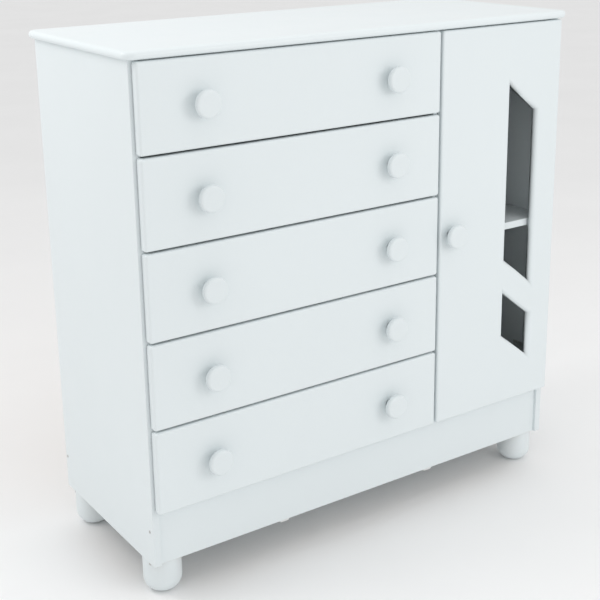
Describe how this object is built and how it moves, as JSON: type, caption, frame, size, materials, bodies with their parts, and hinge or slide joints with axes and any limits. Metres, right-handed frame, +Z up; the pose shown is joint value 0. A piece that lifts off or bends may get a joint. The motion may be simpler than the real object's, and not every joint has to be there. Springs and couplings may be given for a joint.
{
  "type": "tall chest of drawers",
  "caption": "White chest with full-width pull-out drawers beside a tall cupboard door that has two slanted windows, on short turned feet.",
  "frame": {"origin": "middle of the bounding box in plan, on the floor under the feet", "axes": "+X to the right as seen from the front, +Y from the drawer fronts to the back, +Z up"},
  "size_m": [1.026, 0.455, 1.037],
  "materials": {
    "white_board": "satin white laminate on board",
    "white_top": "satin white painted top with a rounded edge",
    "white_turned": "satin white paint on turned wood",
    "box_board": "matt white foil on board",
    "hardboard": "white face on thin hardboard",
    "enamelled_steel": "white enamelled steel",
    "nickel_steel": "nickel plated steel",
    "white_nylon": "moulded nylon"
  },
  "bodies": {
    "root": {"top_panel": "white_top", "left_side_panel": "white_board", "right_side_panel": "white_board", "centre_partition": "white_board", "base_panel": "white_board", "kick_board": "white_board", "rear_kick_rail": "white_board", "top_front_rail": "white_board", "top_back_rail": "white_board", "back_panel_left": "hardboard", "back_panel_right": "hardboard", "cupboard_shelf": "white_board", "shelf_pins": "nickel_steel", "foot_front_left": "white_turned", "foot_front_right": "white_turned", "foot_back_left": "white_turned", "foot_back_right": "white_turned", "side_screws": "nickel_steel", "kick_glides": "white_nylon", "cabinet_runners": "enamelled_steel", "runner_rollers": "white_nylon", "hinge_arms": "nickel_steel"},
    "door": {"door_panel": "white_board", "door_knob": "white_turned", "hinge_cups": "nickel_steel"},
    "drawer_1": {"drawer_1_front": "white_board", "drawer_1_left_side": "box_board", "drawer_1_right_side": "box_board", "drawer_1_back": "box_board", "drawer_1_bottom": "hardboard", "drawer_1_knobs": "white_turned", "drawer_1_runners": "enamelled_steel"},
    "drawer_2": {"drawer_2_front": "white_board", "drawer_2_left_side": "box_board", "drawer_2_right_side": "box_board", "drawer_2_back": "box_board", "drawer_2_bottom": "hardboard", "drawer_2_knobs": "white_turned", "drawer_2_runners": "enamelled_steel"},
    "drawer_3": {"drawer_3_front": "white_board", "drawer_3_left_side": "box_board", "drawer_3_right_side": "box_board", "drawer_3_back": "box_board", "drawer_3_bottom": "hardboard", "drawer_3_knobs": "white_turned", "drawer_3_runners": "enamelled_steel"},
    "drawer_4": {"drawer_4_front": "white_board", "drawer_4_left_side": "box_board", "drawer_4_right_side": "box_board", "drawer_4_back": "box_board", "drawer_4_bottom": "hardboard", "drawer_4_knobs": "white_turned", "drawer_4_runners": "enamelled_steel"},
    "drawer_5": {"drawer_5_front": "white_board", "drawer_5_left_side": "box_board", "drawer_5_right_side": "box_board", "drawer_5_back": "box_board", "drawer_5_bottom": "hardboard", "drawer_5_knobs": "white_turned", "drawer_5_runners": "enamelled_steel"}
  },
  "joints": [
    {"name": "drawer_1_slide", "type": "slide", "parent": "root", "child": "drawer_1", "axis": [0, -1, 0], "range_m": [0, 0.29]},
    {"name": "drawer_2_slide", "type": "slide", "parent": "root", "child": "drawer_2", "axis": [0, -1, 0], "range_m": [0, 0.29]},
    {"name": "drawer_3_slide", "type": "slide", "parent": "root", "child": "drawer_3", "axis": [0, -1, 0], "range_m": [0, 0.29]},
    {"name": "drawer_4_slide", "type": "slide", "parent": "root", "child": "drawer_4", "axis": [0, -1, 0], "range_m": [0, 0.29]},
    {"name": "drawer_5_slide", "type": "slide", "parent": "root", "child": "drawer_5", "axis": [0, -1, 0], "range_m": [0, 0.29]},
    {"name": "door_swing", "type": "hinge", "parent": "root", "child": "door", "pos_m": [0.4905, -0.1945, 0.6], "axis": [0, 0, 1], "range_deg": [0, 100]}
  ]
}
